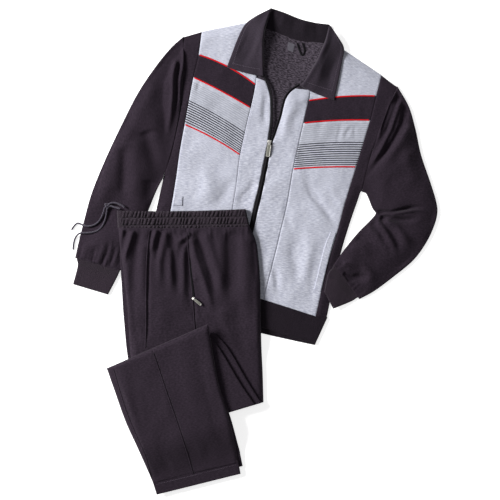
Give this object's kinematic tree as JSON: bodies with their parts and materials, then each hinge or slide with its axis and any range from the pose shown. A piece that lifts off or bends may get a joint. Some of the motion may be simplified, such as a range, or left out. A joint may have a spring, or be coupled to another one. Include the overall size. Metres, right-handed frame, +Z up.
{
  "type": "tracksuit",
  "caption": "Tracksuit laid flat: a zipped jacket with a folded collar and striped chest bands, and long trousers folded over its lower corner.",
  "frame": {"origin": "bottom centre of the box of the laid-out suit without its tie cord, on the surface it lies on", "axes": "+X to the right of the layout, +Y towards the collar, +Z up from the surface"},
  "size_m": [0.8798, 1.1645, 0.0456],
  "materials": {
    "anthracite_knit": "matt brushed knit, dark anthracite",
    "anthracite_rib": "matt fine rib knit, dark anthracite",
    "heather_grey_knit": "matt jersey, light heather grey",
    "striped_grey_knit": "matt jersey, light grey with fine and dark stripes",
    "inside_charcoal_heather": "brushed inner face, charcoal heather",
    "red_piping": "satin cord piping, red",
    "zip_metal": "brushed metal",
    "zip_tape": "woven tape, black",
    "label_cloth": "woven label, plain"
  },
  "bodies": {
    "cloth": {"collar_back": "anthracite_knit", "collar_wing_left": "anthracite_knit", "collar_wing_right": "anthracite_knit", "hanging_loop": "anthracite_knit", "hem_back": "anthracite_rib", "hem_left": "anthracite_rib", "hem_left_leg": "anthracite_knit", "hem_right": "anthracite_rib", "hem_right_leg": "anthracite_knit", "jacket_back": "inside_charcoal_heather", "left_band": "anthracite_knit", "left_cuff": "anthracite_rib", "left_lower": "heather_grey_knit", "left_piping_1": "red_piping", "left_piping_2": "red_piping", "left_piping_3": "red_piping", "left_placket": "heather_grey_knit", "left_pocket_welt": "heather_grey_knit", "left_side": "anthracite_knit", "left_sleeve": "anthracite_knit", "left_stripe": "striped_grey_knit", "left_yoke": "heather_grey_knit", "left_zip_tape": "zip_tape", "neck_label": "label_cloth", "pocket_slider": "zip_metal", "right_band": "anthracite_knit", "right_cuff": "anthracite_rib", "right_lower": "heather_grey_knit", "right_piping_1": "red_piping", "right_piping_2": "red_piping", "right_piping_3": "red_piping", "right_placket": "heather_grey_knit", "right_pocket_welt": "heather_grey_knit", "right_side": "anthracite_knit", "right_sleeve": "anthracite_knit", "right_stripe": "striped_grey_knit", "right_yoke": "heather_grey_knit", "right_zip_tape": "zip_tape", "shin_back": "anthracite_knit", "shin_front": "anthracite_knit", "thigh_back": "anthracite_knit", "thigh_front": "anthracite_knit", "tie_cord_lower": "anthracite_rib", "tie_cord_upper": "anthracite_rib", "tie_end_lower": "anthracite_rib", "tie_end_upper": "anthracite_rib", "tie_knot": "anthracite_rib", "turned_back_lower": "anthracite_knit", "turned_back_upper": "anthracite_knit", "under_shin": "anthracite_knit", "under_thigh": "anthracite_knit", "waistband": "anthracite_rib", "zip_slider": "zip_metal"},
    "main_pull": {"zip_puller": "zip_metal"},
    "pocket_pull": {"pocket_puller": "zip_metal"}
  },
  "joints": [
    {"name": "zip_pull_hinge", "type": "hinge", "parent": "cloth", "child": "main_pull", "pos_m": [0.034, 0.26, 0.0133], "axis": [-0.9903, 0.1392, 0], "range_deg": [0, 165]},
    {"name": "pocket_pull_hinge", "type": "hinge", "parent": "cloth", "child": "pocket_pull", "pos_m": [-0.147, -0.114, 0.02854], "axis": [-0.6293, -0.7771, 0], "range_deg": [0, 165]}
  ]
}
